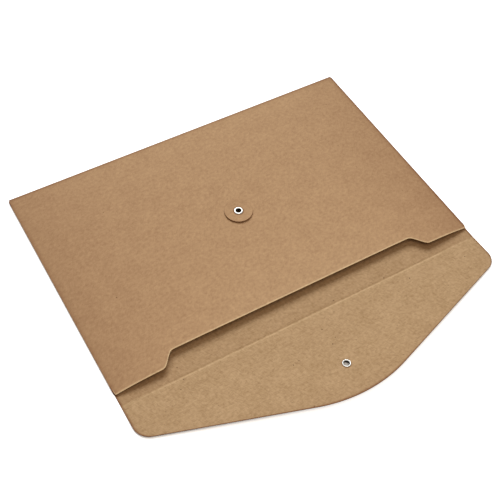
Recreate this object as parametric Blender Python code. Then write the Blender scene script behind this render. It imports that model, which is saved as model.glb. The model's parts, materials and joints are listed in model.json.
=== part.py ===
"""Kraft board document wallet with a button on the pocket and a button on the flap.

One die-cut board blank is folded into a pocket: back panel, bottom fold, front panel
and two glue tabs that turn in under the front panel. A narrow spine strip past the
mouth carries the pointed flap. A paper disc is riveted to the front panel and another
to the flap, each by a tubular eyelet, for a cord to be wound round.

Metres, +Z up. The origin is the centre of the back panel's underside, X runs along the
mouth, and the flap lies open towards -Y, resting on its own button.
"""

import math

import bpy
import bmesh
import numpy as np
from mathutils import Matrix

MM = 0.001

# Board and the clearance between pieces that touch
BOARD = 0.55 * MM
GAP = 0.30 * MM

# Pocket, seen from the front
WIDTH = 330.0 * MM               # over the two side folds
DEPTH = 213.0 * MM               # mouth edge to bottom fold
MOUTH_Y = -DEPTH / 2
FOLD_Y = DEPTH / 2
CORNER_LENGTH = 2.5 * MM         # the side folds stop this far short of the mouth
CORNER_INSET = 0.6 * MM          # and the front panel's mouth corners are cut in by this

# Bow of the front panel, which springs away from the back between its folds
BOW_RISE = 5.0 * MM
BOW_POWER_X = 7                  # nearly flat middle, steep sides
BOW_POWER_Y = 6

# Thumb notch along the mouth of the front panel
NOTCH_DEPTH = 11.9 * MM
NOTCH_TOP_X = 125.0 * MM         # half width where the notch leaves the mouth edge
NOTCH_BASE_X = 110.0 * MM        # half width where its floor starts

# Layers of the folded board, as heights of the board's middle
BACK_Z = BOARD / 2
TAB_Z = BACK_Z + BOARD + GAP
FRONT_Z = TAB_Z + BOARD + GAP    # front panel along its side and bottom folds

# Glue tabs
TAB_WIDTH = 15.0 * MM
TAB_TAPER = 12.0 * MM            # the tab's ends slope by this much along the fold

# Spine strip and flap
STRIP_WIDTH = 329.0 * MM
SPINE_Y = MOUTH_Y - 1.0 * MM     # the board bends here, just clear of the mouth edge
CREASE_Y = MOUTH_Y - 10.1 * MM   # scored crease between the spine strip and the flap
FLAP_LENGTH = 78.5 * MM          # crease to the rounded point
FLAP_SLANT = math.radians(18.8)  # slope of the two long edges
FLAP_POINT_RADIUS = 124.0 * MM
FLAP_CORNER_RADIUS = 14.0 * MM

# Buttons and eyelets
POCKET_BUTTON_Y = MOUTH_Y + 104.6 * MM
FLAP_BUTTON_REACH = 51.2 * MM    # crease to the flap's eyelet
HOLE_RADIUS = 3.05 * MM
DISC_RADIUS = 12.1 * MM
DISC_SEAT_RADIUS = 4.7 * MM      # flat ring that the eyelet grips
DISC_THICKNESS = 0.80 * MM
FRONT_DISH = 0.50 * MM           # the rim stands off the board, so a cord can pass under it
FLAP_DISH = 1.12 * MM            # the flap's disc is sprung further
DISH_POWER = 1.4                 # the dish steepens towards the rim
EYELET_BORE = 2.35 * MM
EYELET_WALL = 0.40 * MM
EYELET_FLANGE = 3.9 * MM         # radius of the flange on the disc
EYELET_ROLL = 3.45 * MM          # radius of the edge rolled over inside
EYELET_LIP = 0.45 * MM           # height of flange and roll

# The open flap leans on its button: the disc's rim nearest the crease lies level with the back's underside
LEAN_REACH = FLAP_BUTTON_REACH - DISC_RADIUS
LEAN_DROP = BOARD + GAP + FLAP_DISH + DISC_THICKNESS
FLAP_TILT = math.atan2(LEAN_DROP, LEAN_REACH) - math.asin(BOARD / math.hypot(LEAN_REACH, LEAN_DROP))

# Facets
COLUMNS_SIDE, COLUMNS_CURVE, COLUMNS_MIDDLE = 6, 8, 7
ROWS = 16
ROUND_STEPS = 40
EYELET_STEPS = 32
FOLD_STEPS = 10
ARC_STEPS = 10
LIP_STEPS = 6
DISH_STEPS = 6

KRAFT_FACE = (0.462, 0.283, 0.153)
KRAFT_INSIDE = (0.445, 0.287, 0.150)
KRAFT_DISC = (0.450, 0.273, 0.146)
NICKEL = (0.72, 0.71, 0.69)


def clear_scene():
    for obj in list(bpy.data.objects):
        bpy.data.objects.remove(obj, do_unlink=True)


def material(name, colour, roughness, metallic=0.0):
    mat = bpy.data.materials.new(name)
    mat.use_nodes = True
    shader = mat.node_tree.nodes["Principled BSDF"]
    shader.inputs["Base Color"].default_value = (*colour, 1.0)
    shader.inputs["Roughness"].default_value = roughness
    shader.inputs["Metallic"].default_value = metallic
    return mat


def kraft(name, colour):
    return material(name + "_kraft", colour, roughness=0.88)


def nickel(name):
    return material(name + "_nickel", NICKEL, roughness=0.28, metallic=1.0)


def axis_empty(name, location, parent=None, tilt=0.0):
    """Empty on a joint axis. Its location and tilt about X are relative to the parent."""
    empty = bpy.data.objects.new(name, None)
    empty.empty_display_size = 10 * MM
    empty.location = location
    empty.rotation_euler = (tilt, 0.0, 0.0)
    empty.parent = parent
    bpy.context.scene.collection.objects.link(empty)
    return empty


def add_object(name, mesh, mat, parent=None):
    obj = bpy.data.objects.new(name, mesh)
    obj.data.materials.append(mat)
    obj.parent = parent
    bpy.context.scene.collection.objects.link(obj)
    return obj


def mesh_from_bmesh(name, bm):
    bmesh.ops.recalc_face_normals(bm, faces=bm.faces)
    mesh = bpy.data.meshes.new(name)
    bm.to_mesh(mesh)
    bm.free()
    return mesh


def flat_board(name, outline, base_z, mat, parent=None):
    """Board cut to an outline of (x, y) points, one board thick above base_z."""
    bm = bmesh.new()
    face = bm.faces.new([bm.verts.new((x, y, base_z)) for x, y in outline])
    top = bmesh.ops.extrude_face_region(bm, geom=[face])["geom"]
    raised = [item for item in top if isinstance(item, bmesh.types.BMVert)]
    bmesh.ops.translate(bm, verts=raised, vec=(0.0, 0.0, BOARD))
    return add_object(name, mesh_from_bmesh(name, bm), mat, parent)


def bent_board(name, middle, mat, parent=None):
    """Board whose middle surface is a grid of points, thickened half to each side."""
    rows, columns = middle.shape[:2]
    index = np.arange(rows * columns).reshape(rows, columns)
    quads = np.stack([index[:-1, :-1], index[:-1, 1:], index[1:, 1:], index[1:, :-1]], axis=-1)
    mesh = bpy.data.meshes.new(name)
    mesh.from_pydata(middle.reshape(-1, 3).tolist(), [], quads.reshape(-1, 4).tolist())
    mesh.validate()
    obj = add_object(name, mesh, mat, parent)
    thick = obj.modifiers.new("board", "SOLIDIFY")
    thick.thickness = BOARD
    thick.offset = 0.0
    thick.use_even_offset = True
    mesh.shade_smooth()
    mesh.set_sharp_from_angle(angle=math.radians(40))
    return obj


def turned(name, profile, steps, mat, parent=None, flip=False):
    """Solid turned about Z from a closed profile of (radius, height) points."""
    bm = bmesh.new()
    ring = [bm.verts.new((radius, 0.0, height)) for radius, height in profile]
    edges = [bm.edges.new((ring[i - 1], ring[i])) for i in range(len(ring))]
    bmesh.ops.spin(bm, geom=ring + edges, cent=(0, 0, 0), axis=(0, 0, 1),
                   angle=2 * math.pi, steps=steps, use_merge=True)
    bmesh.ops.remove_doubles(bm, verts=bm.verts, dist=0.001 * MM)
    if flip:
        bmesh.ops.rotate(bm, verts=bm.verts, matrix=Matrix.Rotation(math.pi, 3, "X"))
    mesh = mesh_from_bmesh(name, bm)
    mesh.shade_smooth()
    mesh.set_sharp_from_angle(angle=math.radians(35))
    return add_object(name, mesh, mat, parent)


def arc(centre, radius, start, end, steps):
    """Points (a, b) on an arc, with its angles in radians."""
    angles = np.linspace(start, end, steps + 1)
    return [(centre[0] + radius * math.cos(a), centre[1] + radius * math.sin(a)) for a in angles]


def punch_eyelet_hole(board, y, parent=None):
    """Cuts the round hole that an eyelet passes through."""
    bm = bmesh.new()
    bmesh.ops.create_cone(bm, cap_ends=True, segments=ROUND_STEPS, radius1=HOLE_RADIUS,
                          radius2=HOLE_RADIUS, depth=40 * MM)
    cutter = add_object(board.name + "_punch", mesh_from_bmesh("punch", bm),
                        board.data.materials[0], parent)
    cutter.location = (0.0, y, 0.0)
    cutter.hide_render = True
    cutter.display_type = "WIRE"
    cut = board.modifiers.new("eyelet_hole", "BOOLEAN")
    cut.operation = "DIFFERENCE"
    cut.solver = "EXACT"
    cut.object = cutter


def bow_height(x_share, y_share):
    """Height of the front panel over its folds. Each share is 0 at the centre or mouth and 1 at a fold."""
    return BOW_RISE * (1 - np.abs(x_share) ** BOW_POWER_X) * (1 - y_share ** BOW_POWER_Y)


def notch(x):
    """How far the mouth edge is cut back at x: half a cosine wave between mouth edge and notch floor."""
    share = np.clip((NOTCH_TOP_X - np.abs(x)) / (NOTCH_TOP_X - NOTCH_BASE_X), 0, 1)
    return NOTCH_DEPTH * (1 - np.cos(np.pi * share)) / 2


# The front panel and the back panel stop one gap short of the folds that join them
SIDE_BEND_RADIUS = (FRONT_Z - TAB_Z) / 2
SIDE_BEND_X = WIDTH / 2 - SIDE_BEND_RADIUS - BOARD / 2
BOTTOM_BEND_RADIUS = (FRONT_Z - BACK_Z) / 2
BOTTOM_BEND_Y = FOLD_Y - BOTTOM_BEND_RADIUS - BOARD / 2
FRONT_HALF_WIDTH = SIDE_BEND_X - GAP
PANEL_END_Y = BOTTOM_BEND_Y - GAP
FRONT_DEPTH = PANEL_END_Y - MOUTH_Y


def back_panel():
    half = WIDTH / 2 - GAP
    half_strip = STRIP_WIDTH / 2
    start = SPINE_Y + GAP / 2
    shoulder = MOUTH_Y + CORNER_LENGTH
    right = [(half_strip, start), (half_strip, MOUTH_Y), (half, shoulder), (half, PANEL_END_Y)]
    left = [(-x, y) for x, y in reversed(right)]
    flat_board("back_panel", right + left, 0.0, kraft("back_panel", KRAFT_FACE))


def front_panel():
    """Grid of columns from the notched mouth edge to the bottom fold, bowed like a shallow pillow."""
    side = np.linspace(1.0, NOTCH_TOP_X / FRONT_HALF_WIDTH, COLUMNS_SIDE, endpoint=False)
    curve = np.linspace(NOTCH_TOP_X, NOTCH_BASE_X, COLUMNS_CURVE, endpoint=False) / FRONT_HALF_WIDTH
    middle = np.linspace(NOTCH_BASE_X / FRONT_HALF_WIDTH, 0.0, COLUMNS_MIDDLE)
    half = np.concatenate([side, curve, middle])
    across = np.concatenate([-half, half[-2::-1]])
    corner_share = CORNER_LENGTH / FRONT_DEPTH
    past_corner = np.sin(np.linspace(0, np.pi / 2, ROWS))   # rows close up towards the bottom fold
    along = np.concatenate([[0.0], corner_share + (1 - corner_share) * past_corner])
    inset = CORNER_INSET * np.clip(1 - along / corner_share, 0, 1)
    x = across[None, :] * (FRONT_HALF_WIDTH - inset)[:, None]
    cut = notch(x)
    y_share = cut / FRONT_DEPTH + along[:, None] * (1 - cut / FRONT_DEPTH)
    z = FRONT_Z + bow_height(x / FRONT_HALF_WIDTH, y_share)
    grid = np.stack([x, MOUTH_Y + y_share * FRONT_DEPTH, z], axis=-1)
    panel = bent_board("front_panel", grid, kraft("front_panel", KRAFT_FACE))
    punch_eyelet_hole(panel, POCKET_BUTTON_Y)


def bottom_fold():
    """Half-round bend along the bottom, joining the back panel to the front panel."""
    centre = (BOTTOM_BEND_Y, BACK_Z + BOTTOM_BEND_RADIUS)
    bend = arc(centre, BOTTOM_BEND_RADIUS, -math.pi / 2, math.pi / 2, FOLD_STEPS)
    grid = np.array([[(x, y, z) for y, z in bend] for x in (-FRONT_HALF_WIDTH, FRONT_HALF_WIDTH)])
    bent_board("bottom_fold", grid, kraft("bottom_fold", KRAFT_FACE))


def glue_tab(name, side):
    """Tab with sloped ends that lies on the back panel, with the half-round side fold on its outer edge."""
    flat = [(SIDE_BEND_X - TAB_WIDTH, TAB_Z)]
    centre = (SIDE_BEND_X, TAB_Z + SIDE_BEND_RADIUS)
    bend = arc(centre, SIDE_BEND_RADIUS, -math.pi / 2, math.pi / 2, FOLD_STEPS)
    section = np.array(flat + bend)
    slope = TAB_TAPER * np.clip((SIDE_BEND_X - section[:, 0]) / TAB_WIDTH, 0, 1)
    start = MOUTH_Y + CORNER_LENGTH + slope
    end = PANEL_END_Y - GAP - BOARD - slope
    rows = [np.stack([side * section[:, 0], y, section[:, 1]], axis=-1) for y in (start, end)]
    bent_board(name, np.array(rows[::side]), kraft(name, KRAFT_INSIDE))


def spine_strip(spine_axis):
    half = STRIP_WIDTH / 2
    near = -GAP / 2
    far = CREASE_Y - SPINE_Y + GAP / 2
    outline = [(-half, far), (half, far), (half, near), (-half, near)]
    flat_board("spine_strip", outline, -BOARD, kraft("spine_strip", KRAFT_INSIDE), spine_axis)


def flap_outline():
    """Right half of the flap, from its point: point arc, long slant, corner arc and short side."""
    half = STRIP_WIDTH / 2
    slope = math.tan(FLAP_SLANT)
    apex = FLAP_LENGTH + FLAP_POINT_RADIUS * (1 / math.cos(FLAP_SLANT) - 1)
    corner_x = half - FLAP_CORNER_RADIUS
    slant_at_corner = apex - corner_x * slope
    corner_y = slant_at_corner - FLAP_CORNER_RADIUS / math.cos(FLAP_SLANT)
    point = arc((0.0, -(FLAP_LENGTH - FLAP_POINT_RADIUS)), FLAP_POINT_RADIUS,
                -math.pi / 2, -math.pi / 2 + FLAP_SLANT, ARC_STEPS)
    corner = arc((corner_x, -corner_y), FLAP_CORNER_RADIUS, -math.pi / 2 + FLAP_SLANT, 0.0, ARC_STEPS)
    return point + corner + [(half, -GAP / 2)]


def closing_flap(flap_axis):
    right = flap_outline()
    left = [(-x, y) for x, y in reversed(right[1:])]
    flap = flat_board("closing_flap", right + left, -BOARD, kraft("closing_flap", KRAFT_INSIDE), flap_axis)
    punch_eyelet_hole(flap, -FLAP_BUTTON_REACH, flap_axis)


def button_disc(name, button_axis, dish, flip=False):
    """Paper disc, gripped flat round the eyelet and dished so that its rim stands off the board."""
    radii = np.linspace(DISC_SEAT_RADIUS, DISC_RADIUS, DISH_STEPS)
    rise = dish * ((radii - DISC_SEAT_RADIUS) / (DISC_RADIUS - DISC_SEAT_RADIUS)) ** DISH_POWER
    under = [(HOLE_RADIUS, GAP)] + [(r, GAP + h) for r, h in zip(radii, rise)]
    over = [(r, h + DISC_THICKNESS) for r, h in reversed(under)]
    turned(name, under + over, ROUND_STEPS, kraft(name, KRAFT_DISC), button_axis, flip)


def eyelet(name, button_axis, flip=False):
    """Tubular eyelet: domed flange on the disc, barrel through disc and board, edge rolled over behind."""
    outer = EYELET_BORE + EYELET_WALL
    seat = GAP + DISC_THICKNESS + GAP
    behind = -BOARD - GAP
    dome_half = (EYELET_FLANGE - EYELET_BORE) / 2
    roll_half = (EYELET_ROLL - EYELET_BORE) / 2
    angles = np.linspace(0, math.pi, LIP_STEPS + 1)
    flange = [(EYELET_BORE + dome_half * (1 + math.cos(a)), seat + EYELET_LIP * math.sin(a)) for a in angles]
    roll = [(EYELET_BORE + roll_half * (1 - math.cos(a)), behind - EYELET_LIP * math.sin(a)) for a in angles]
    barrel = [(outer, behind), (outer, seat)]
    turned(name, flange + roll + barrel, EYELET_STEPS, nickel(name), button_axis, flip)


def build():
    clear_scene()
    back_panel()
    front_panel()
    bottom_fold()
    glue_tab("left_glue_tab", -1)
    glue_tab("right_glue_tab", 1)

    spine_axis = axis_empty("spine_axis", (0.0, SPINE_Y, BOARD))
    flap_axis = axis_empty("flap_axis", (0.0, CREASE_Y - SPINE_Y, 0.0), spine_axis, -FLAP_TILT)
    spine_strip(spine_axis)
    closing_flap(flap_axis)

    seat_z = FRONT_Z + BOARD / 2 + float(bow_height(0.0, (POCKET_BUTTON_Y - MOUTH_Y) / FRONT_DEPTH))
    pocket_button = axis_empty("pocket_button_axis", (0.0, POCKET_BUTTON_Y, seat_z))
    button_disc("front_button_disc", pocket_button, FRONT_DISH)
    eyelet("front_eyelet", pocket_button)

    flap_button = axis_empty("flap_button_axis", (0.0, -FLAP_BUTTON_REACH, -BOARD), flap_axis)
    button_disc("flap_button_disc", flap_button, FLAP_DISH, flip=True)
    eyelet("flap_eyelet", flap_button, flip=True)


build()
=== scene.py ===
import json
import math

import bpy
import numpy as np
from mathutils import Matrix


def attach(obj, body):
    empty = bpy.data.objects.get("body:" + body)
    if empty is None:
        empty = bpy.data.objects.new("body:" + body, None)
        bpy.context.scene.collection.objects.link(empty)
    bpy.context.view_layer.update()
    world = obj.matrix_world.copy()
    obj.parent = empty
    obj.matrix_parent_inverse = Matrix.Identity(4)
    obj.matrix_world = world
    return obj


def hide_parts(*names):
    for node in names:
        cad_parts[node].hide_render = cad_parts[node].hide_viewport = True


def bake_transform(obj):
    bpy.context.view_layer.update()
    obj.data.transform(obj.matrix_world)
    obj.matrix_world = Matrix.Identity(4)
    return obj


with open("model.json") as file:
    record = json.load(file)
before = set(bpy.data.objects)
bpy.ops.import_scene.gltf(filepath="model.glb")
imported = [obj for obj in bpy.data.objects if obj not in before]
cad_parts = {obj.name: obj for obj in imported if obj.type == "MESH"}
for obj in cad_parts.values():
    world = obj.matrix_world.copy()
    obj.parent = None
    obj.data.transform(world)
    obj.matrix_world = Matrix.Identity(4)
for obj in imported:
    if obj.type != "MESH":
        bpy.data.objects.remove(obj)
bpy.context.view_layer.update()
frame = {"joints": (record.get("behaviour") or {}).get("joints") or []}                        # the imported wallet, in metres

mm = 0.001
joints = {joint["name"]: joint for joint in frame["joints"]}
scene = bpy.context.scene

# The board blank, laid flat with its outer face up. u runs along the mouth, v from the front panel's mouth edge
# over the bottom fold and along the back to the flap's point, and h stands out of the outer face.
blank = {
    "thick": 0.55 * mm,
    "mouthY": -106.5 * mm,
    "foldY": 105.375 * mm,               # the panels end here and the bottom fold begins
    "spineY": -107.5 * mm,               # bend at the mouth
    "creaseY": -116.6 * mm,              # scored crease of the flap
    "backZ": 0.275 * mm,                 # heights of the board's middle: back, glue tabs, front along its folds
    "tabZ": 1.125 * mm,
    "frontZ": 1.975 * mm,
    "halfFront": 164.3 * mm,             # half widths: front between its side folds, back, strip past the mouth
    "halfBack": 164.7 * mm,
    "halfStrip": 164.5 * mm,
    "cornerLength": 2.5 * mm,            # the side folds stop this far short of the mouth
    "edgeRound": 0.12 * mm,              # shoulder that the cutting die leaves on an edge
    "edgeSteps": 3,
    "edgeWearAndShading": -0.65,                    # a cut edge: above nought rubbed pale with a painted highlight, below nought painted shade
    "edgeBand": 2.2 * mm,                # the faces fade from it over this width
    "foldPaintedShade": {"left": 0.26, "right": 0.65, "far": 0.50},          # the folds are handled dark, unevenly,
    "foldReach": 1.3 * mm,                                            # the folds have painted shade, uneven from side to side, and the front panel fades from them
    "paintedEdgeShade": {"left": (0.155, 0.155), "right": (0.25, 0.09)},     # painted shade also darkens the panel towards its sides: at the mouth and the far fold, so far in
    "paintedShadeReach": {"left": 85 * mm, "right": 45 * mm},                 # sides: at the mouth and the far fold, so far in
    "handPower": 1.5,
    "sharpTurn": math.radians(40),       # faces that turn further than this meet in a sharp edge
    "hair": 0.01 * mm,                   # slack where places on a grid are compared
}
thick = blank["thick"]
foldRadius = (blank["frontZ"] - blank["backZ"]) / 2
vFold = blank["foldY"] - blank["mouthY"]
vBack = vFold + math.pi * foldRadius
vSpine = vBack + blank["foldY"] - blank["spineY"]
vCrease = vSpine + blank["spineY"] - blank["creaseY"]


def linear(hexColour):                   # sRGB hex to linear, by the standard's curve
    channel = np.array([int(hexColour[i:i + 2], 16) for i in (1, 3, 5)]) / 255
    flat = np.where(channel <= 0.04045, channel / 12.92, ((channel + 0.055) / 1.055) ** 2.4)
    return (*flat.tolist(), 1.0)


def addNode(tree, kind, inputs=None, **settings):      # an input that is a socket is linked, any other is set
    node = tree.nodes.new("ShaderNode" + kind)
    for key, value in settings.items():
        setattr(node, key, value)
    for key, value in (inputs or {}).items():
        if isinstance(value, bpy.types.NodeSocket):
            tree.links.new(value, node.inputs[key])
        else:
            node.inputs[key].default_value = value
    return node


def newMaterial(name):                   # a new material, its node tree and its shader
    material = bpy.data.materials.new(name)
    material.use_nodes = True
    return material, material.node_tree, material.node_tree.nodes["Principled BSDF"]


# Unbleached kraft board, machine-made: a matt brown sheet with soft cloudy formation, long pale and dark fibres
# lying mostly along the sheet, and a few bark flecks. The outer face is pressed smoother than the inner one.
kraft = {
    "wornAndShaded": "#F0D2A4", "shadeBrown": "#6A3112",           # what wear and painted light turn the board towards above nought, and painted shade below it
    "brokenRub": (0.5, 0.9),                           # the rub is broken between these shares
    "driftSize": 16 * mm, "cloudShare": 0.72,          # slow drift under the cloudy formation, and the clouds' share
    "toneRange": (0.25, 0.75), "cloudRange": (0.3, 0.7),              # what the noise spans, from end to end
    "wanderSize": 6 * mm, "wander": 3.0 * mm,          # fibres wander by so much over such a length
    "paleRange": (0.56, 0.76), "darkRange": (0.44, 0.24),             # noise that shows as a fibre, faint to full
    "fleckLeast": 0.4, "fleckSoft": 0.4, "fleckDepth": 0.8,           # smallest fleck, soft edge, strength
    "specular": 0.03,
}
kraftOutside = {
    **kraft, "shift": (0.0, 0.0, 0.0),                 # where the pattern starts, so that no two finishes repeat
    "dark": "#AA8461", "light": "#C8A279",             # ends of the cloudy tone
    "paleFibre": "#D5AE84", "darkFibre": "#835E3D", "fleck": "#5E432C",
    "cloudSize": 3.0 * mm,
    "fibreSize": (5.0 * mm, 0.75 * mm, 0.75 * mm),     # real fibres are 3 mm by 0.04 mm, drawn coarser to show
    "fibreTurns": (8.0, 52.0), "paleShare": 0.22, "darkShare": 0.21,
    "fleckSpacing": 7.0 * mm, "fleckSize": 0.55 * mm, "fleckShare": 0.02,
    "roughness": (0.58, 0.70), "toothSize": 0.55 * mm, "tooth": 0.011 * mm,
}
kraftInside = {
    **kraft, "shift": (0.31, 0.17, 0.0),
    "dark": "#A7865F", "light": "#C9A780",
    "paleFibre": "#D7B68C", "darkFibre": "#7C5D3D", "fleck": "#543D2A",
    "cloudSize": 2.5 * mm,
    "fibreSize": (4.2 * mm, 0.85 * mm, 0.85 * mm),
    "fibreTurns": (-6.0, 61.0), "paleShare": 0.33, "darkShare": 0.33,
    "fleckSpacing": 6.0 * mm, "fleckSize": 0.75 * mm, "fleckShare": 0.05,
    "roughness": (0.66, 0.80), "toothSize": 0.65 * mm, "tooth": 0.021 * mm,
}
kraftButton = {**kraftOutside, "shift": (0.62, 0.43, 0.0), "fibreTurns": (33.0, -48.0)}


def kraftBoard(name, look):
    material, tree, shader = newMaterial(name)
    flat = addNode(tree, "Attribute", attribute_name="blank").outputs["Vector"]
    place = addNode(tree, "Mapping", {"Vector": flat, "Location": look["shift"]}).outputs["Vector"]
    drift = addNode(tree, "TexNoise", {"Vector": place, "Scale": 1 / look["driftSize"], "Detail": 2.0})
    cloud = addNode(tree, "TexNoise", {"Vector": place, "Scale": 1 / look["cloudSize"], "Detail": 4.0,
                                      "Roughness": 0.58})
    tone = addNode(tree, "Mix", {0: look["cloudShare"], 2: drift.outputs["Fac"], 3: cloud.outputs["Fac"]},
                   data_type="FLOAT")
    low, high = look["toneRange"]
    tone = addNode(tree, "MapRange", {"Value": tone.outputs[0], "From Min": low, "From Max": high})
    colour = addNode(tree, "Mix", {0: tone.outputs[0], 6: linear(look["dark"]), 7: linear(look["light"])},
                     data_type="RGBA").outputs[2]

    # Fibres wander, so the place is pushed about by a slow noise before it is stretched along the fibre
    push = addNode(tree, "TexNoise", {"Vector": place, "Scale": 1 / look["wanderSize"], "Detail": 1.0})
    push = addNode(tree, "VectorMath", {0: push.outputs["Color"], "Scale": look["wander"]}, operation="SCALE")
    bent = addNode(tree, "VectorMath", {0: place, 1: push.outputs["Vector"]}, operation="ADD").outputs["Vector"]
    strands = []
    for turn in look["fibreTurns"]:
        laid = addNode(tree, "Mapping", {"Vector": bent, "Rotation": (0.0, 0.0, math.radians(turn)),
                                         "Scale": look["fibreSize"]}, vector_type="TEXTURE")
        strands.append(addNode(tree, "TexNoise", {"Vector": laid.outputs["Vector"], "Scale": 1.0, "Detail": 1.5}))
    upper = addNode(tree, "Math", {0: strands[0].outputs["Fac"], 1: strands[1].outputs["Fac"]}, operation="MAXIMUM")
    lower = addNode(tree, "Math", {0: strands[0].outputs["Fac"], 1: strands[1].outputs["Fac"]}, operation="MINIMUM")
    faint, full = look["paleRange"]
    pale = addNode(tree, "MapRange", {"Value": upper.outputs[0], "From Min": faint, "From Max": full,
                                      "To Max": look["paleShare"]})
    faint, full = look["darkRange"]
    dark = addNode(tree, "MapRange", {"Value": lower.outputs[0], "From Min": faint, "From Max": full,
                                      "To Max": look["darkShare"]})
    colour = addNode(tree, "Mix", {0: pale.outputs[0], 6: colour, 7: linear(look["paleFibre"])},
                     data_type="RGBA").outputs[2]
    colour = addNode(tree, "Mix", {0: dark.outputs[0], 6: colour, 7: linear(look["darkFibre"])},
                     data_type="RGBA").outputs[2]

    # Bark flecks: the cells of a Voronoi pattern that draw a high number hold one fleck each
    cells = addNode(tree, "TexVoronoi", {"Vector": bent, "Scale": 1 / look["fleckSpacing"]}, voronoi_dimensions="2D")
    size = look["fleckSize"] / look["fleckSpacing"]
    draw = addNode(tree, "SeparateColor", {"Color": cells.outputs["Color"]})
    own = addNode(tree, "MapRange", {"Value": draw.outputs["Green"], "To Min": look["fleckLeast"] * size,
                                     "To Max": size})
    inside = addNode(tree, "Math", {0: own.outputs[0], 1: cells.outputs["Distance"]}, operation="SUBTRACT")
    inFleck = addNode(tree, "MapRange", {"Value": inside.outputs[0], "From Max": look["fleckSoft"] * size,
                                         "To Max": look["fleckDepth"]})
    chosen = addNode(tree, "Math", {0: draw.outputs["Red"], 1: 1 - look["fleckShare"]}, operation="GREATER_THAN")
    fleck = addNode(tree, "Math", {0: inFleck.outputs[0], 1: chosen.outputs[0]}, operation="MULTIPLY")
    colour = addNode(tree, "Mix", {0: fleck.outputs[0], 6: colour, 7: linear(look["fleck"])},
                     data_type="RGBA").outputs[2]

    # Wear and painted light: above nought pale fibres stand up, broken by the cloudy tone, and below it painted shade
    wearAndShading = addNode(tree, "Attribute", attribute_name="wearAndShading").outputs["Fac"]
    low, high = look["cloudRange"]
    least, most = look["brokenRub"]
    broken = addNode(tree, "MapRange", {"Value": cloud.outputs["Fac"], "From Min": low, "From Max": high,
                                        "To Min": least, "To Max": most})
    wearShading = addNode(tree, "Math", {0: wearAndShading, 1: broken.outputs[0]}, operation="MULTIPLY")
    colour = addNode(tree, "Mix", {0: wearShading.outputs[0], 6: colour, 7: linear(look["wornAndShaded"])},
                     data_type="RGBA").outputs[2]
    shadeBrown = addNode(tree, "MapRange", {"Value": wearAndShading, "From Max": -1.0})
    colour = addNode(tree, "Mix", {0: shadeBrown.outputs[0], 6: colour, 7: linear(look["shadeBrown"])},
                     data_type="RGBA").outputs[2]
    tree.links.new(colour, shader.inputs["Base Color"])

    shader.inputs["Specular IOR Level"].default_value = look["specular"]
    smooth, rough = look["roughness"]
    gloss = addNode(tree, "MapRange", {"Value": cloud.outputs["Fac"], "From Min": low, "From Max": high,
                                       "To Min": smooth, "To Max": rough})
    tree.links.new(gloss.outputs[0], shader.inputs["Roughness"])
    tooth = addNode(tree, "TexNoise", {"Vector": place, "Scale": 1 / look["toothSize"], "Detail": 2.0})
    relief = addNode(tree, "Math", {0: tooth.outputs["Fac"], 1: upper.outputs[0]}, operation="ADD")
    bump = addNode(tree, "Bump", {"Height": relief.outputs[0], "Strength": 1.0, "Distance": look["tooth"]})
    tree.links.new(bump.outputs["Normal"], shader.inputs["Normal"])
    return material


# The board's cut edge: pressed layers of pulp, browner and rougher than the faces, streaked along the layers
cutEdge = {
    "dark": "#8E6943", "light": "#BA9263", "wornAndShaded": kraft["wornAndShaded"], "shadeBrown": kraft["shadeBrown"],
    "streak": (7.0 * mm, 7.0 * mm, 0.12 * mm),         # length along the edge, and the thickness of a layer
    "streakRange": (0.3, 0.7), "roughness": 0.9, "relief": 0.03 * mm,
}


def kraftCutEdge(name, look):
    material, tree, shader = newMaterial(name)
    flat = addNode(tree, "Attribute", attribute_name="blank").outputs["Vector"]
    laid = addNode(tree, "Mapping", {"Vector": flat, "Scale": look["streak"]}, vector_type="TEXTURE")
    layers = addNode(tree, "TexNoise", {"Vector": laid.outputs["Vector"], "Scale": 1.0, "Detail": 3.0})
    low, high = look["streakRange"]
    streak = addNode(tree, "MapRange", {"Value": layers.outputs["Fac"], "From Min": low, "From Max": high})
    colour = addNode(tree, "Mix", {0: streak.outputs[0], 6: linear(look["dark"]), 7: linear(look["light"])},
                     data_type="RGBA").outputs[2]
    # wear here also carries painted shading: pale with a painted highlight above nought, painted shade below
    wearAndShading = addNode(tree, "Attribute", attribute_name="wearAndShading").outputs["Fac"]
    colour = addNode(tree, "Mix", {0: wearAndShading, 6: colour, 7: linear(look["wornAndShaded"])}, data_type="RGBA").outputs[2]
    shadeBrown = addNode(tree, "MapRange", {"Value": wearAndShading, "From Max": -1.0})
    colour = addNode(tree, "Mix", {0: shadeBrown.outputs[0], 6: colour, 7: linear(look["shadeBrown"])},
                     data_type="RGBA").outputs[2]
    tree.links.new(colour, shader.inputs["Base Color"])
    shader.inputs["Roughness"].default_value = look["roughness"]
    bump = addNode(tree, "Bump", {"Height": layers.outputs["Fac"], "Strength": 1.0, "Distance": look["relief"]})
    tree.links.new(bump.outputs["Normal"], shader.inputs["Normal"])
    return material


# Nickel-plated brass, drawn and polished: a bright, slightly warm metal with fine rub marks and dulled patches
nickel = {
    "hex": "#BDBAB3", "dull": "#A19D95", "roughness": (0.18, 0.34),
    "patchSize": 1.1 * mm, "dullRange": (0.35, 0.7), "roughRange": (0.3, 0.7),       # what the patches span
    "rubSize": 0.25 * mm, "rubDepth": 0.006 * mm, "rubStrength": 0.5,
}

# Inside the tube the plating is thin and the drawn brass is dull, and darker still as painted shade
bore = {**nickel, "hex": "#3A352F", "dull": "#25221E", "roughness": (0.38, 0.55)}


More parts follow.
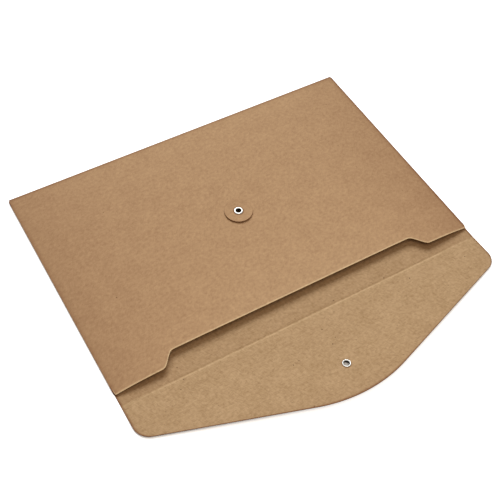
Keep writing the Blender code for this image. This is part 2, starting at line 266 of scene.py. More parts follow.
def nickelPlate(name, look):
    material, tree, shader = newMaterial(name)
    place = addNode(tree, "TexCoord").outputs["Object"]
    patch = addNode(tree, "TexNoise", {"Vector": place, "Scale": 1 / look["patchSize"], "Detail": 2.0})
    low, high = look["dullRange"]
    amount = addNode(tree, "MapRange", {"Value": patch.outputs["Fac"], "From Min": low, "From Max": high})
    colour = addNode(tree, "Mix", {0: amount.outputs[0], 6: linear(look["hex"]), 7: linear(look["dull"])},
                     data_type="RGBA")
    tree.links.new(colour.outputs[2], shader.inputs["Base Color"])
    low, high = look["roughRange"]
    smooth, rough = look["roughness"]
    gloss = addNode(tree, "MapRange", {"Value": patch.outputs["Fac"], "From Min": low, "From Max": high,
                                       "To Min": smooth, "To Max": rough})
    tree.links.new(gloss.outputs[0], shader.inputs["Roughness"])
    shader.inputs["Metallic"].default_value = 1.0
    rub = addNode(tree, "TexNoise", {"Vector": place, "Scale": 1 / look["rubSize"], "Detail": 2.0})
    bump = addNode(tree, "Bump", {"Height": rub.outputs["Fac"], "Strength": look["rubStrength"],
                                  "Distance": look["rubDepth"]})
    tree.links.new(bump.outputs["Normal"], shader.inputs["Normal"])
    return material


outerFace = kraftBoard("kraft_board_outer_face", kraftOutside)
innerFace = kraftBoard("kraft_board_inner_face", kraftInside)
buttonFace = kraftBoard("kraft_button_board", kraftButton)
boardEdge = kraftCutEdge("kraft_board_cut_edge", cutEdge)
nickelMetal = nickelPlate("nickel_plated_brass", nickel)
boreMetalWithPaintedShade = nickelPlate("dull_brass_bore_painted_shade", bore)
boardFinish = [outerFace, innerFace, boardEdge]        # face indices 0, 1 and 2 of every board piece
print("materials made")


def spaced(knots, cells):                # points through the knots, each stretch divided evenly
    parts = [np.linspace(a, b, n + 1)[1:] for a, b, n in zip(knots, knots[1:], cells)]
    return np.concatenate([[knots[0]]] + parts)


def mirrored(half):                      # 0 ... end becomes -end ... 0 ... end
    return np.concatenate([-half[:0:-1], half])


def gridQuads(index):                    # rows follow v and columns u, so faces turn anticlockwise in (u, v)
    corners = [index[:-1, :-1], index[:-1, 1:], index[1:, 1:], index[1:, :-1]]
    return np.stack(corners, axis=-1).reshape(-1, 4)


def gridLayout(u, v, cutStart, cutRight, cutEnd, cutLeft, rub=blank["edgeWearAndShading"]):
    # A plain sheet of rows and columns with one loop round it. Each side says which of its steps are cut edges, and
    # rub is the wear and painted shading of these.
    rows, columns = u.shape
    index = np.arange(u.size).reshape(u.shape)
    loop = np.concatenate([index[0, :-1], index[:-1, -1], index[-1, :0:-1], index[:0:-1, 0]])
    sides = zip((cutStart, cutRight, cutEnd, cutLeft), (columns - 1, rows - 1, columns - 1, rows - 1))
    cut = np.concatenate([np.broadcast_to(side, count) for side, count in sides])
    return {"uv": np.stack([u.ravel(), v.ravel()], axis=1), "quads": gridQuads(index), "loops": [(loop, cut)],
            "rub": rub}


def edgeReach(uv, loop, cut):
    # Unit step out of the material at each point of a loop, mitred at corners, and none where the board runs on
    along = uv[np.roll(loop, -1)] - uv[loop]
    along /= np.linalg.norm(along, axis=1, keepdims=True)
    ahead = np.stack([along[:, 1], -along[:, 0]], axis=1) * cut[:, None]
    behind = np.roll(ahead, 1, axis=0)
    mitre = np.where(cut & np.roll(cut, 1), 1 + (ahead * behind).sum(axis=1), 1.0)
    return (ahead + behind) / mitre[:, None]


def boardPiece(name, layout, place):
    # Two copies of the layout lie half a board over and under the middle surface. Round every loop runs a rim whose
    # section is a straight cut with a quarter round at each shoulder: out = r (cos a - 1), h = t/2 - r + r sin a.
    uv, radius = layout["uv"], blank["edgeRound"]
    count = len(uv)
    quarter = np.linspace(math.pi / 2, 0, blank["edgeSteps"] + 1)[1:]
    out = radius * (np.cos(quarter) - 1)
    height = thick / 2 - radius + radius * np.sin(quarter)
    out, height = np.concatenate([out, out[::-1]]), np.concatenate([height, -height[::-1]])
    drawnIn, wearAndShading = uv.copy(), np.zeros(count)
    rims = []
    for loop, cut in layout["loops"]:
        reach = edgeReach(uv, loop, cut)
        drawnIn[loop] -= reach * radius
        wearAndShading[loop] = (np.linalg.norm(reach, axis=1) > 0) * layout["rub"]
        rims.append((uv[loop] + reach * out[:, None, None], loop))
    flats = [drawnIn, drawnIn] + [ring.reshape(-1, 2) for ring, loop in rims]
    heights = [np.full(count, thick / 2), np.full(count, -thick / 2)]
    heights += [np.repeat(height, len(loop)) for ring, loop in rims]
    faces, kinds = [layout["quads"], layout["quads"][:, ::-1] + count], [0, 1]
    start = 2 * count
    for ring, loop in rims:
        index = start + np.arange(len(height) * len(loop)).reshape(len(height), len(loop))
        index = np.concatenate([loop[None], index, loop[None] + count])
        index = np.concatenate([index, index[:, :1]], axis=1)
        faces.append(gridQuads(index.T))
        kinds.append(2)
        start += ring.shape[0] * ring.shape[1]
    flat, h = np.concatenate(flats), np.concatenate(heights)
    # the rims take the cut edge's wear and painted shading
    rimWear = [np.full(ring.shape[0] * ring.shape[1], layout["rub"]) for ring, loop in rims]
    wornAndShaded = np.concatenate([wearAndShading + layout.get("outerWearAndShading", 0.0), wearAndShading + layout.get("innerWearAndShading", 0.0)] + rimWear)
    kind = np.concatenate([np.full(len(part), k) for part, k in zip(faces, kinds)])
    return addPiece(name, place(flat, h), np.concatenate(faces), kind, boardFinish,
                    np.column_stack([flat, h]), wornAndShaded)


def addPiece(name, points, faces, kind, finishes, blankPlace, wearAndShading):
    # Whole arrays go into a mesh: points, faces and their finishes, and each point's place on the blank and its wear
    mesh = bpy.data.meshes.new(name)
    mesh.from_pydata(points.tolist(), [], faces.tolist())
    for finish in finishes:
        mesh.materials.append(finish)
    mesh.polygons.foreach_set("material_index", kind.astype(np.int32))
    flat = mesh.attributes.new("blank", "FLOAT_VECTOR", "POINT")
    flat.data.foreach_set("vector", blankPlace.astype(np.float32).ravel())
    wearShading = mesh.attributes.new("wearAndShading", "FLOAT", "POINT")
    wearShading.data.foreach_set("value", wearAndShading.astype(np.float32))
    mesh.shade_smooth()
    mesh.set_sharp_from_angle(angle=blank["sharpTurn"])
    piece = bpy.data.objects.new(name, mesh)
    scene.collection.objects.link(piece)
    return piece


# Front panel, sprung away from the back between its folds, with a wide notch cut in its mouth edge
front = {
    "bowRise": 5.0 * mm, "bowPowerU": 7, "bowPowerV": 6,
    "notchDepth": 11.9 * mm, "notchTop": 125.0 * mm, "notchBase": 110.0 * mm,
    "cornerInset": 0.6 * mm,             # the mouth corners are cut in
    "edgeWearAndShading": 1.0, "mouthBand": 1.5 * mm,             # the mouth's cut edge is rubbed pale, with a painted highlight, over this width, and the panel behind it has a little painted light, over this length, fading towards the mouth's ends
    "mouthPaintedLight": 0.09, "mouthReach": 40 * mm,           # and the panel behind it a little, over this length,
    "mouthPower": 3,                                   # fading towards the mouth's ends
    "holeRadius": 3.05 * mm, "window": 8.0 * mm,       # half side of the finer square round the eyelet
    "ringSteps": 6,                                    # from that square to the round hole
    "sideBand": 8 * mm, "foldShare": 0.88,             # closer cells begin here, beside the side and bottom folds
    "columnCells": [8, 34, 30, 16, 10], "rowCells": [1, 2, 27, 16, 26, 18],
}
buttonV = joints["front_button_turn"]["pos_m"][1] - blank["mouthY"]


def frontPlace(flat, h):
    # Height = rise (1 - |u/half|^7) (1 - (v/depth)^6), and h goes along the surface's own normal
    u, v = flat.T
    half, rise, p, q = blank["halfFront"], front["bowRise"], front["bowPowerU"], front["bowPowerV"]
    across, down = u / half, np.clip(v / vFold, 0, 1)
    z = blank["frontZ"] + rise * (1 - np.abs(across) ** p) * (1 - down ** q)
    slopeU = -rise * p * np.abs(across) ** (p - 1) * np.sign(across) / half * (1 - down ** q)
    slopeV = -rise * (1 - np.abs(across) ** p) * q * down ** (q - 1) / vFold
    normal = np.stack([-slopeU, -slopeV, np.ones_like(u)], axis=1)
    normal /= np.linalg.norm(normal, axis=1, keepdims=True)
    return np.stack([u, blank["mouthY"] + v, z], axis=1) + normal * np.broadcast_to(h, u.shape)[:, None]


def frontLayout():
    # Columns run from the notched mouth edge to the bottom fold. The notch's ends are half a cosine wave. The cells
    # round the eyelet give way to rings that go from a square to the round hole.
    half, window = blank["halfFront"], front["window"]
    columns = mirrored(spaced([0, window, front["notchBase"], front["notchTop"], half - front["sideBand"], half],
                              front["columnCells"]))
    depth = vFold - front["notchDepth"]
    middle = (buttonV - front["notchDepth"]) / depth
    knots = [0, front["mouthBand"] / depth, blank["cornerLength"] / vFold, middle - window / depth,
             middle + window / depth, front["foldShare"], 1]
    rows = spaced(knots, front["rowCells"])
    inset = front["cornerInset"] * np.clip(1 - rows * vFold / blank["cornerLength"], 0, 1)
    u = columns[None] / half * (half - inset)[:, None]
    share = np.clip((front["notchTop"] - np.abs(u)) / (front["notchTop"] - front["notchBase"]), 0, 1)
    notch = front["notchDepth"] * (1 - np.cos(np.pi * share)) / 2
    v = notch + rows[:, None] * (vFold - notch)
    freeSide = rows[:-1] * vFold < blank["cornerLength"] - blank["hair"]
    layout = gridLayout(u, v, True, freeSide, False, freeSide[::-1], rub=front["edgeWearAndShading"])

    index = np.arange(u.size).reshape(u.shape)
    inside = np.abs(columns) < window - blank["hair"]
    r0 = int(np.argmin(np.abs(rows - knots[3])))
    r1 = int(np.argmin(np.abs(rows - knots[4])))
    c0, c1 = int(np.flatnonzero(inside)[0]) - 1, int(np.flatnonzero(inside)[-1]) + 1
    square = index[r0:r1 + 1, c0:c1 + 1]
    border = np.concatenate([square[0, :-1], square[:-1, -1], square[-1, :0:-1], square[:0:-1, 0]])
    outer = layout["uv"][border]
    centre = np.array([0.0, buttonV])
    angle = np.arctan2(*(outer - centre).T[::-1])
    circle = centre + front["holeRadius"] * np.stack([np.cos(angle), np.sin(angle)], axis=1)
    rings = outer + (circle - outer) * np.linspace(0, 1, front["ringSteps"] + 1)[1:, None, None]
    ringIndex = u.size + np.arange(rings.shape[0] * rings.shape[1]).reshape(rings.shape[:2])
    ringIndex = np.concatenate([border[None], ringIndex])
    keep = ~np.isin(layout["quads"], square[1:-1, 1:-1]).any(axis=1)
    patch = gridQuads(np.concatenate([ringIndex, ringIndex[:, :1]], axis=1).T)[:, ::-1]
    quads = np.concatenate([layout["quads"][keep], patch])
    uv = np.concatenate([layout["uv"], rings.reshape(-1, 2)])

    # Painted shading of the outer face: painted shade exp(-distance/reach) beside the folds, share
    # exp(-(distance/reach)^1.5) from the sides, and painted light that falls off in the same way behind the mouth
    toFold = {"left": half + uv[:, 0], "right": half - uv[:, 0], "far": vFold - uv[:, 1]}
    shade = -np.max([blank["foldPaintedShade"][key] * np.exp(-toFold[key] / blank["foldReach"]) for key in toFold], axis=0)
    for key, (atMouth, atFold) in blank["paintedEdgeShade"].items():
        inward = np.clip(toFold[key], 0, None) / blank["paintedShadeReach"][key]
        share = atMouth + (atFold - atMouth) * uv[:, 1] / vFold
        shade -= share * np.exp(-inward ** blank["handPower"])
    fromMouth = np.clip(uv[:, 1] - front["notchDepth"], 0, None)
    toEnds = 1 - np.abs(uv[:, 0] / half) ** front["mouthPower"]
    shade += front["mouthPaintedLight"] * np.exp(-fromMouth / front["mouthReach"]) * toEnds

    hole = ringIndex[-1, ::-1]
    loops = layout["loops"] + [(hole, np.ones(len(hole), bool))]
    used, packed = np.unique(quads, return_inverse=True)
    renumber = np.zeros(len(uv), int)
    renumber[used] = np.arange(len(used))
    return {"uv": uv[used], "quads": packed.reshape(-1, 4), "rub": layout["rub"], "outerWearAndShading": shade[used],
            "loops": [(renumber[loop], cut) for loop, cut in loops]}


frontPanel = boardPiece("front_panel_board", frontLayout(), frontPlace)
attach(frontPanel, "pocket")
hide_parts("front_panel")
print("front panel made")

# Bottom fold: the board turned half round, from the front panel down to the back panel
bottom = {"half": 164.0 * mm, "columns": 40, "steps": 16}


def bottomPlace(flat, h):
    # Half a turn about the fold's centre line: angle = 90 degrees less the length past the front panel over the radius
    u, v = flat.T
    angle = math.pi / 2 - (v - vFold) / foldRadius
    reach = foldRadius + h
    y = blank["foldY"] + reach * np.cos(angle)
    return np.stack([u, y, blank["backZ"] + foldRadius + reach * np.sin(angle)], axis=1)


u, v = np.meshgrid(np.linspace(-bottom["half"], bottom["half"], bottom["columns"] + 1),
                   np.linspace(vFold, vBack, bottom["steps"] + 1))
sheet = gridLayout(u, v, False, True, False, True)
# painted shade along the bottom fold
sheet["outerWearAndShading"] = -blank["foldPaintedShade"]["far"]
bottomFold = boardPiece("bottom_fold_board", sheet, bottomPlace)
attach(bottomFold, "pocket")
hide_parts("bottom_fold")

# Glue tabs: each side fold turns half round and runs on as a tab with sloped ends, flat on the back panel
tab = {"width": 15.0 * mm, "taper": 12.0 * mm, "end": 104.225 * mm, "rows": 24, "bendSteps": 14, "columns": 8}
sideRadius = (blank["frontZ"] - blank["tabZ"]) / 2


def tabPlace(side):
    # Past the front panel's side the board goes half a turn, then straight back under the panel
    def place(flat, h):
        past = side * flat[:, 0] - blank["halfFront"]
        angle = math.pi / 2 - np.clip(past / sideRadius, 0, math.pi)
        reach = sideRadius + h
        x = blank["halfFront"] + reach * np.cos(angle) - np.clip(past - math.pi * sideRadius, 0, None)
        z = blank["tabZ"] + sideRadius + reach * np.sin(angle)
        return np.stack([side * x, blank["mouthY"] + flat[:, 1], z], axis=1)
    return place


for name, node, side in (("left_tab_board", "left_glue_tab", -1), ("right_tab_board", "right_glue_tab", 1)):
    bendEnd = math.pi * sideRadius
    past = spaced([0, bendEnd, bendEnd + tab["width"] - blank["edgeBand"], bendEnd + tab["width"]],
                  [tab["bendSteps"], tab["columns"], 1])
    slope = tab["taper"] * np.clip((past - bendEnd) / tab["width"], 0, 1)
    first = blank["cornerLength"] + slope
    last = tab["end"] - blank["mouthY"] - slope
    v = first + np.linspace(0, 1, tab["rows"] + 1)[:, None] * (last - first)
    u = np.broadcast_to(side * (blank["halfFront"] + past), v.shape)
    sheet = gridLayout(u[:, ::side], v[:, ::side], True, side > 0, True, side < 0)
    # painted shade along the side fold
    sheet["outerWearAndShading"] = -blank["foldPaintedShade"]["left" if side < 0 else "right"]
    glueTab = boardPiece(name, sheet, tabPlace(side))
    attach(glueTab, "pocket")
    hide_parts(node)
print("folds and tabs made")

# Back panel, which runs on past the mouth as far as the middle of the spine strip, with closer rows at its bend line
back = {
    "bendHalf": 0.65 * mm, "seam": 4.0 * mm,           # half the bend's length, and where the strip takes over
    "columns": 20, "rowCells": [24, 3, 1, 14, 3],
    "mouthPaintedShade": 0.08, "mouthReach": 25 * mm,         # the inner face has painted shade from here inside to the crease, and more towards both ends of the mouth
    "endPaintedShade": 0.08, "endFrom": 95 * mm, "endTo": 135 * mm,          # and more so towards both ends of the mouth
}


def mouthPaintedShade(u):                       # one painted shade along the middle, rising evenly to a second towards both ends
    share = np.interp(np.abs(u), [back["endFrom"], back["endTo"]], [0, 1])
    return back["mouthPaintedShade"] + back["endPaintedShade"] * share


def backPlace(flat, h):
    # The board lies flat, outer face down, and v runs from the bottom fold towards the mouth
    u, v = flat.T
    return np.stack([u, blank["foldY"] - (v - vBack), np.broadcast_to(blank["backZ"] - h, u.shape)], axis=1)


vMouth = vBack + blank["foldY"] - blank["mouthY"]
bend = back["bendHalf"]
rows = spaced([vBack, vMouth - blank["cornerLength"], vMouth, vSpine - bend, vSpine + bend, vSpine + back["seam"]],
              back["rowCells"])
half = np.interp(rows, [vMouth - blank["cornerLength"], vMouth], [blank["halfBack"], blank["halfStrip"]])
share = mirrored(spaced([0, 1 - blank["edgeBand"] / blank["halfBack"], 1], [back["columns"], 1]))
u = share[None] * half[:, None]
v = np.broadcast_to(rows[:, None], u.shape)
sheet = gridLayout(u, v, False, True, False, True)
# painted shade on the inner face near the mouth
sheet["innerWearAndShading"] = -mouthPaintedShade(u.ravel()) * np.clip(1 - (vMouth - v.ravel()) / back["mouthReach"], 0, 1)
backPanel = boardPiece("back_panel_board", sheet, backPlace)
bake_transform(backPanel)
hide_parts("back_panel")

# Spine strip and the scored crease: a shallow groove in the inner face, where the flap starts to lean up
crease = {
    "leanHalf": 0.9 * mm, "bendHalf": 0.7 * mm,        # half lengths of the lean's start and of the closing bend
    "reach": 3.2 * mm,                                 # the flap takes over this far past the crease
    "grooveDepth": 0.44 * mm,
    "grooveNear": 1.1 * mm, "grooveFar": 1.15 * mm,    # half widths of the groove's walls, towards pocket and flap
    "grooveAt": -0.45 * mm,              # the score lies a little nearer the pocket than the line of the bend
    "fadeFrom": 110 * mm, "fadeTo": 150 * mm, "fade": 0.75,           # and is shallower towards its ends
    "crushedAndLit": 0.24, "crushedAt": 0.6 * mm, "crushedHalf": 0.8 * mm,  # pale crushed fibres and a painted highlight on the flap's wall
    "columnCells": [20, 1], "rowCells": [3, 48],
    "run": 12 * mm, "runPoints": 4801,   # the lean is summed over this length to each side
}
buttonAxis = joints["flap_button_turn"]["axis"]
tilt = math.atan2(-buttonAxis[1], -buttonAxis[2])


def creaseFade(u):                       # 1 along the middle, less by the fade at both ends
    share = np.interp(np.abs(u), [crease["fadeFrom"], crease["fadeTo"]], [0, 1])
    return 1 - crease["fade"] * share


def stripPlace(flat, h):
    # The inner face climbs by the sum of a slope that goes smoothly from level to the flap's lean. The groove is
    # depth exp(-(distance/half)^2) at the inner face, with its own half on each side, and dies out through the board.
    u, v = flat.T
    run = np.linspace(-crease["run"], crease["run"], crease["runPoints"])
    ease = np.clip(run / (2 * crease["leanHalf"]) + 0.5, 0, 1)
    lean = tilt * ease * ease * (3 - 2 * ease)
    step = run[1] - run[0]
    climb = np.concatenate([[0], np.cumsum(np.sin((lean[1:] + lean[:-1]) / 2) * step)])
    far = np.concatenate([[0], np.cumsum(np.cos((lean[1:] + lean[:-1]) / 2) * step)])
    far -= np.interp(0, run, far)
    past = v - vCrease
    angle = np.interp(past, run, lean)
    offset = past - crease["grooveAt"]
    wall = np.where(offset < 0, crease["grooveNear"], crease["grooveFar"])
    groove = crease["grooveDepth"] * creaseFade(u) * np.exp(-(offset / wall) ** 2) * (0.5 - h / thick)
    down = h + thick / 2 + groove
    y = blank["creaseY"] - np.interp(past, run, far) - np.sin(angle) * down
    return np.stack([u, y, thick + np.interp(past, run, climb) - np.cos(angle) * down], axis=1)


reach = crease["reach"]
rows = spaced([vSpine + back["seam"], vCrease - reach, vCrease + reach], crease["rowCells"])
edge = 1 - blank["edgeBand"] / blank["halfStrip"]
columns = mirrored(spaced([0, edge, 1], crease["columnCells"])) * blank["halfStrip"]
u, v = np.meshgrid(columns, rows)
sheet = gridLayout(u, v, False, True, False, True)
offset = v.ravel() - vCrease - crease["grooveAt"]
# pale crushed fibres with a painted highlight on the flap's wall, and painted shade towards the pocket
sheet["innerWearAndShading"] = crease["crushedAndLit"] * np.exp(-((offset - crease["crushedAt"]) / crease["crushedHalf"]) ** 2)
sheet["innerWearAndShading"] *= creaseFade(u.ravel())
sheet["innerWearAndShading"] -= mouthPaintedShade(u.ravel()) * np.clip(-offset / crease["grooveNear"], 0, 1)
spineStrip = boardPiece("spine_strip_board", sheet, stripPlace)
bend = crease["bendHalf"]
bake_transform(spineStrip)
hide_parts("spine_strip")
print("back panel and spine strip made")

# Closing flap: short sides, round corners, long slants and a round point
flap = {
    "length": 78.5 * mm, "slant": math.radians(18.8), "pointRadius": 124.0 * mm, "cornerRadius": 14.0 * mm,
    "buttonReach": 51.2 * mm, "holeRadius": 3.05 * mm,
    "arcSteps": 20, "slantSteps": 24, "sideSteps": 6, "creaseSteps": 48,
    "ringShares": [1.0, 0.9, 0.75, 0.6, 0.45, 0.3, 0.15, 0.0],        # rings from the edge's band in to the collar
    "collar": 1.4 * mm, "grime": 0.4, "grimeAt": 0.6 * mm,            # the board is darker round the eyelet, in the collar
    "paintedEdgeShade": 0.07, "paintedShadeReach": 12 * mm, "shadeFrom": 10 * mm,    # painted shade darkens the flap a little along its edge
}


def flapPlace(flat, h):
    # A flat sheet that leaves the crease at the lean, outer face down
    u, v = flat.T
    past, down = v - vCrease, h + thick / 2
    y = blank["creaseY"] - past * math.cos(tilt) - math.sin(tilt) * down
    return np.stack([u, y, thick + past * math.sin(tilt) - math.cos(tilt) * down], axis=1)


def flapLayout():
    # The outline goes round the hole once, so every ring between the two is a share of the way from one to the other
    slant, big, small, half = flap["slant"], flap["pointRadius"], flap["cornerRadius"], blank["halfStrip"]
    apex = flap["length"] + big * (1 / math.cos(slant) - 1)
    cornerU = half - small
    cornerV = apex - cornerU * math.tan(slant) - small / math.cos(slant)
    pointArc = np.linspace(0, slant, flap["arcSteps"] + 1)
    point = np.stack([big * np.sin(pointArc), flap["length"] - big + big * np.cos(pointArc)], axis=1)
    cornerArc = np.linspace(slant, math.pi / 2, flap["arcSteps"] + 1)
    corner = np.stack([cornerU + small * np.sin(cornerArc), cornerV + small * np.cos(cornerArc)], axis=1)
    slope = point[-1] + (corner[0] - point[-1]) * np.linspace(0, 1, flap["slantSteps"] + 1)[1:-1, None]
    foot = np.array([half, crease["reach"]])
    short = corner[-1] + (foot - corner[-1]) * np.linspace(0, 1, flap["sideSteps"] + 1)[1:, None]
    right = np.concatenate([point, slope, corner, short])
    left = right[:0:-1] * (-1, 1)
    across = np.linspace(-half, half, flap["creaseSteps"] + 1)[1:-1]
    seam = np.stack([across, np.full(len(across), crease["reach"])], axis=1)
    outline = np.concatenate([right[::-1], left[::-1], seam])         # foot, point, other foot, along the crease
    cut = np.ones(len(outline), bool)
    cut[len(right) + len(left) - 1:] = False
    centre = np.array([0.0, flap["buttonReach"]])
    spoke = outline - centre
    distance = np.linalg.norm(spoke, axis=1, keepdims=True)
    band = blank["edgeBand"]
    share = np.array(flap["ringShares"])[:, None, None]
    collar = flap["holeRadius"] + flap["collar"]
    inner = collar + (distance - band - collar) * share
    innermost = flap["holeRadius"] + np.array([flap["grimeAt"], 0.0])[:, None, None] + np.zeros_like(distance)
    lengths = np.concatenate([distance[None], inner, innermost])
    rings = centre + spoke / distance * lengths + (0, vCrease)
    index = np.arange(rings.shape[0] * rings.shape[1]).reshape(rings.shape[:2])
    quads = gridQuads(np.concatenate([index, index[:, :1]], axis=1).T)[:, ::-1]

    # Painted shade on the inner face, exp(-distance/reach) along the edge and none at the crease, and darker board at
    # the eyelet
    fromEdge = (distance - lengths)[..., 0]
    fromSeam = np.clip((rings[..., 1] - vCrease - crease["reach"]) / flap["shadeFrom"], 0, 1)
    grime = -flap["paintedEdgeShade"] * np.exp(-fromEdge / flap["paintedShadeReach"]) * fromSeam
    grime[-2] = -flap["grime"]
    hole = index[-1]
    return {"uv": rings.reshape(-1, 2), "quads": quads, "rub": blank["edgeWearAndShading"], "innerWearAndShading": grime.ravel(),
            "loops": [(index[0], cut), (hole[::-1], np.ones(len(hole), bool))]}


closingFlap = boardPiece("closing_flap_board", flapLayout(), flapPlace)
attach(closingFlap, "flap")
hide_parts("closing_flap")
print("flap made")


def turnedPiece(name, profile, kind, wearAndShading, finishes, joint, steps, body, node):
    # A closed profile of (radius, height), drawn clockwise, is carried once round the joint's axis
    axis = np.array(joint["axis"], float)
    first = np.array([1.0, 0.0, 0.0])
    second = np.cross(axis, first)
    angle = np.linspace(0, 2 * math.pi, steps, endpoint=False)[:, None]
    radius, height = profile.T
    a, b = radius * np.cos(angle), radius * np.sin(angle)
    points = np.array(joint["pos_m"]) + a[..., None] * first + b[..., None] * second + height[None, :, None] * axis
    index = np.arange(a.size).reshape(a.shape)
    index = np.concatenate([index, index[:1]])
    index = np.concatenate([index, index[:, :1]], axis=1)
    flat = np.stack([a, b, np.broadcast_to(height, a.shape)], axis=-1)
    piece = addPiece(name, points.reshape(-1, 3), gridQuads(index), np.tile(kind, steps), finishes,
                     flat.reshape(-1, 3), np.tile(wearAndShading, steps))
    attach(piece, body)
    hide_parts(node)


def arcPoints(centre, radii, start, end, steps):       # part of an ellipse in (radius, height), angles in degrees
    angle = np.radians(np.linspace(start, end, steps + 1))
    return np.stack([centre[0] + radii[0] * np.cos(angle), centre[1] + radii[1] * np.sin(angle)], axis=1)


# Button discs: punched from stout board, gripped flat by the eyelet and dished so that the rim stands off
disc = {
    "hole": 3.05 * mm, "seat": 4.7 * mm, "radius": 12.1 * mm, "lift": 0.30 * mm, "thick": 0.80 * mm,
    "dish": {"front": 0.50 * mm, "flap": 1.12 * mm}, "dishPower": 1.4, "edgeRound": 0.14 * mm, "rimBand": 0.6 * mm,
    "steps": 96, "seatSteps": 4, "dishSteps": 17, "edgeSteps": 4,
    "grime": 0.55, "grimeReach": 0.4 * mm,             # painted shade round the flange, this far about the seat's end
    "rim": -0.66,                        # and painted shade on the rim
}


def discProfile(dish):
    # Rise = dish ((r - seat) / (radius - seat))^1.4 outside the seat, the same over and under
    edge = disc["edgeRound"]
    radii = spaced([disc["hole"], disc["seat"], disc["radius"] - disc["rimBand"], disc["radius"] - edge],
                   [disc["seatSteps"], disc["dishSteps"], 1])
    rise = dish * (np.clip(radii - disc["seat"], 0, None) / (disc["radius"] - disc["seat"])) ** disc["dishPower"]
    over = np.stack([radii, disc["lift"] + disc["thick"] + rise], axis=1)
    under = np.stack([radii, disc["lift"] + rise], axis=1)[::-1]
    top, foot = over[-1], under[0]
    shoulder = arcPoints((top[0], top[1] - edge), (edge, edge), 90, 0, disc["edgeSteps"])[1:]
    heel = arcPoints((foot[0], foot[1] + edge), (edge, edge), 0, -90, disc["edgeSteps"])[:-1]
    profile = np.concatenate([over, shoulder, heel, under])
    rimEnd = len(over) + len(shoulder) + len(heel)
    kind = np.zeros(len(profile), int)
    kind[len(over) - 1:rimEnd] = 1                     # the punched rim
    kind[-1] = 1                                       # and the wall of the hole
    wearAndShading = np.zeros(len(profile))
    reach = disc["grimeReach"]
    # painted shade round the flange and on the rim
    wearAndShading[:len(over)] = -disc["grime"] * np.clip((disc["seat"] + reach - radii) / (2 * reach), 0, 1)
    wearAndShading[len(over):rimEnd + 1] = disc["rim"]
    return profile, kind, wearAndShading


# Eyelets: a drawn tube with a domed flange on the disc, its other end rolled over on the board's inner face
eyelet = {
    "bore": 2.35 * mm, "barrel": 2.75 * mm, "flange": 3.9 * mm, "roll": 3.45 * mm,                   # radii
    "flangeTop": 1.85 * mm, "flangeFoot": 1.13 * mm, "rollTop": -0.58 * mm, "rollFoot": -1.30 * mm,  # heights
    "flangeMouth": (0.60 * mm, 0.50 * mm), "flangeLip": (0.13 * mm, 0.17 * mm),  # width and height of each rounding
    "rollMouth": (0.70 * mm, 0.55 * mm), "rollLip": (0.23 * mm, 0.22 * mm),
    "archSteps": 8, "lipSteps": 4, "steps": 72,
}


def eyeletProfile():
    # Up the bore, over the flange in three quarter ellipses, down the barrel and round the roll in three more
    bore, flange, roll, barrel = (eyelet[key] for key in ("bore", "flange", "roll", "barrel"))
    top, foot, rollTop, low = (eyelet[key] for key in ("flangeTop", "flangeFoot", "rollTop", "rollFoot"))
    mouth, lip, rollMouth, rollLip = (eyelet[key] for key in ("flangeMouth", "flangeLip", "rollMouth", "rollLip"))
    crown, under = bore + mouth[0], bore + rollMouth[0]                # radii where flange and roll stand furthest out
    lipZ, rollZ = foot + lip[1], rollTop - rollLip[1]                  # heights where they are widest
    arch, turn = eyelet["archSteps"], eyelet["lipSteps"]
    parts = [
        arcPoints((crown, top - mouth[1]), mouth, 180, 90, arch),
        arcPoints((crown, lipZ), (flange - crown, top - lipZ), 90, 0, arch)[1:],
        arcPoints((flange - lip[0], lipZ), lip, 0, -90, turn)[1:],
        np.array([[barrel, foot], [barrel, rollTop]]),
        arcPoints((roll - rollLip[0], rollZ), rollLip, 90, 0, turn),
        arcPoints((under, rollZ), (roll - under, rollZ - low), 0, -90, arch)[1:],
        arcPoints((under, low + rollMouth[1]), rollMouth, -90, -180, arch)[1:],
    ]
    return np.concatenate(parts)


eyeletSection = eyeletProfile()
plain = np.zeros(len(eyeletSection))
eyeletKind = np.where(np.arange(len(plain)) == len(plain) - 1, 1, 0)  # the last step closes the loop up the bore
for where, turn, button, carrier in (("front", "front_button_turn", "front_button", "pocket"),
                                     ("flap", "flap_button_turn", "flap_button", "flap")):
    discSection, discKind, discWear = discProfile(disc["dish"][where])
    turnedPiece(where + "_disc_board", discSection, discKind, discWear, [buttonFace, boardEdge], joints[turn],
                disc["steps"], button, where + "_button_disc")
    turnedPiece(where + "_eyelet_metal", eyeletSection, eyeletKind, plain, [nickelMetal, boreMetalWithPaintedShade], joints[turn],
                eyelet["steps"], carrier, where + "_eyelet")
print("buttons and eyelets made")


def seenDirectly(tree):                  # 1 for rays from the camera or by way of metal and glass, otherwise 0
    path = addNode(tree, "LightPath").outputs
    seen = addNode(tree, "Math", {0: path["Is Camera Ray"], 1: path["Is Glossy Ray"]}, operation="MAXIMUM")
    seen = addNode(tree, "Math", {0: seen.outputs[0], 1: path["Is Transmission Ray"]}, operation="MAXIMUM")
    return seen.outputs[0]


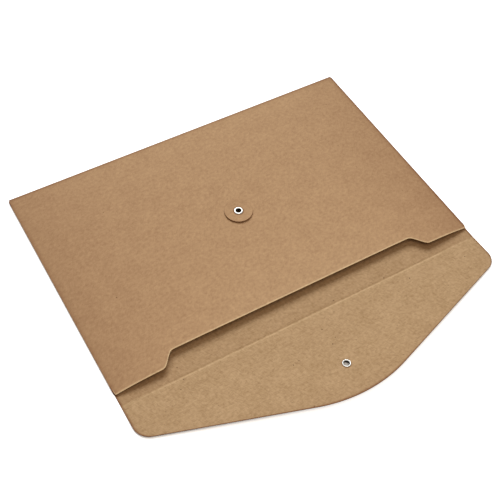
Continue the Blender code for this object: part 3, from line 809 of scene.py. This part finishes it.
# Floor: a matt white paper sweep that still takes the wallet's shadow
floorLook = {
    "size": 6.0, "drop": 0.05 * mm, "hex": "#F2F1EF", "glow": 0.78, "glowHex": "#FFFFFF",
    "shadeReach": 5 * mm, "shadeRange": (0.3, 0.8), "shadeSamples": 8,  # glow taken away by ambient occlusion, a painted contact shadow under the board, white in the open
}
side = floorLook["size"] / 2
floorMesh = bpy.data.meshes.new("floor")
corners = np.array([[-side, -side, 0], [side, -side, 0], [side, side, 0], [-side, side, 0]])
floorMesh.from_pydata((corners - (0, 0, floorLook["drop"])).tolist(), [], [(0, 1, 2, 3)])
floor = bpy.data.objects.new("floor", floorMesh)
scene.collection.objects.link(floor)
floorMaterial, tree, shader = newMaterial("white_paper_sweep")
shader.inputs["Base Color"].default_value = linear(floorLook["hex"])
shader.inputs["Roughness"].default_value = 1.0
shader.inputs["Specular IOR Level"].default_value = 0.0
shader.inputs["Emission Color"].default_value = linear(floorLook["glowHex"])
sky = addNode(tree, "AmbientOcclusion", {"Distance": floorLook["shadeReach"]}, samples=floorLook["shadeSamples"])
covered, openSky = floorLook["shadeRange"]
sky = addNode(tree, "MapRange", {"Value": sky.outputs["AO"], "From Min": covered, "From Max": openSky,
                                 "To Max": floorLook["glow"]})
glow = addNode(tree, "Math", {0: seenDirectly(tree), 1: sky.outputs[0]}, operation="MULTIPLY")
tree.links.new(glow.outputs[0], shader.inputs["Emission Strength"])
floorMesh.materials.append(floorMaterial)

# Light: a large soft lamp behind the wallet, a weak one over the camera's side, and an even room. The first is a
# touch cool and the others as much warm, so a lit colour stays as written and a shadow keeps the board's brown.
lamps = {
    "back_lamp": {"towards": (0.32, 0.95), "elevation": 52.0, "distance": 6.0, "size": (4.6, 3.7), "power": 350.0,
                  "hex": "#EDF6FF"},
    "front_lamp": {"towards": (-0.2, -0.98), "elevation": 68.0, "distance": 0.8, "size": (0.5, 0.5), "power": 1.77,
                   "hex": "#FFEEDB"},
}
room = {"light": 0.137, "hex": "#FFEEDB", "seenLight": 1.0, "seenHex": "#FFFFFF"}      # and what the camera sees of it
world = bpy.data.worlds.new("white_room")
world.use_nodes = True
scene.world = world
tree = world.node_tree
seen = seenDirectly(tree)
strength = addNode(tree, "MapRange", {"Value": seen, "To Min": room["light"], "To Max": room["seenLight"]})
tint = addNode(tree, "Mix", {0: seen, 6: linear(room["hex"]), 7: linear(room["seenHex"])}, data_type="RGBA")
tree.links.new(tint.outputs[2], tree.nodes["Background"].inputs["Color"])
tree.links.new(strength.outputs[0], tree.nodes["Background"].inputs["Strength"])


def aim(thing, backward, position, roll=0.0):
    # The thing looks along -backward. Its side is kept level, and then turned by the roll.
    side = np.cross([0, 0, 1], backward)
    side /= np.linalg.norm(side)
    side = math.cos(roll) * side - math.sin(roll) * np.cross(backward, side)
    matrix = np.eye(4)
    matrix[:3] = np.column_stack([side, np.cross(backward, side), backward, position])
    thing.matrix_world = matrix.T.tolist()
    scene.collection.objects.link(thing)


middle = np.array([0.0, -45 * mm, 0.0])                # middle of the wallet as it lies open
for name, look in lamps.items():
    lift = math.radians(look["elevation"])
    towards = np.array([*(np.array(look["towards"]) * math.cos(lift)), math.sin(lift)])
    towards /= np.linalg.norm(towards)
    lamp = bpy.data.lights.new(name, "AREA")
    lamp.shape = "RECTANGLE"
    lamp.size, lamp.size_y = look["size"]              # along the floor, then up
    lamp.energy = look["power"]
    lamp.color = linear(look["hex"])[:3]
    aim(bpy.data.objects.new(name, lamp), towards, middle + towards * look["distance"])

# Camera, as fitted to the photo's straight edges
view = {"azimuth": -32.97, "elevation": 53.14, "roll": -3.46, "distance": 758.3 * mm,
        "target": (-8.94 * mm, -37.27 * mm, 0.0), "lens": 65.6, "sensor": 36.0}
azimuth, elevation, roll = (math.radians(view[key]) for key in ("azimuth", "elevation", "roll"))
backward = np.array([math.sin(azimuth) * math.cos(elevation), -math.cos(azimuth) * math.cos(elevation),
                     math.sin(elevation)])
camera = bpy.data.cameras.new("camera")
camera.sensor_width = view["sensor"]
camera.lens = view["lens"]
cameraObject = bpy.data.objects.new("camera", camera)
aim(cameraObject, backward, np.array(view["target"]) + backward * view["distance"], roll)
scene.camera = cameraObject
scene.view_settings.view_transform = "Standard"
print("floor, light and camera placed")
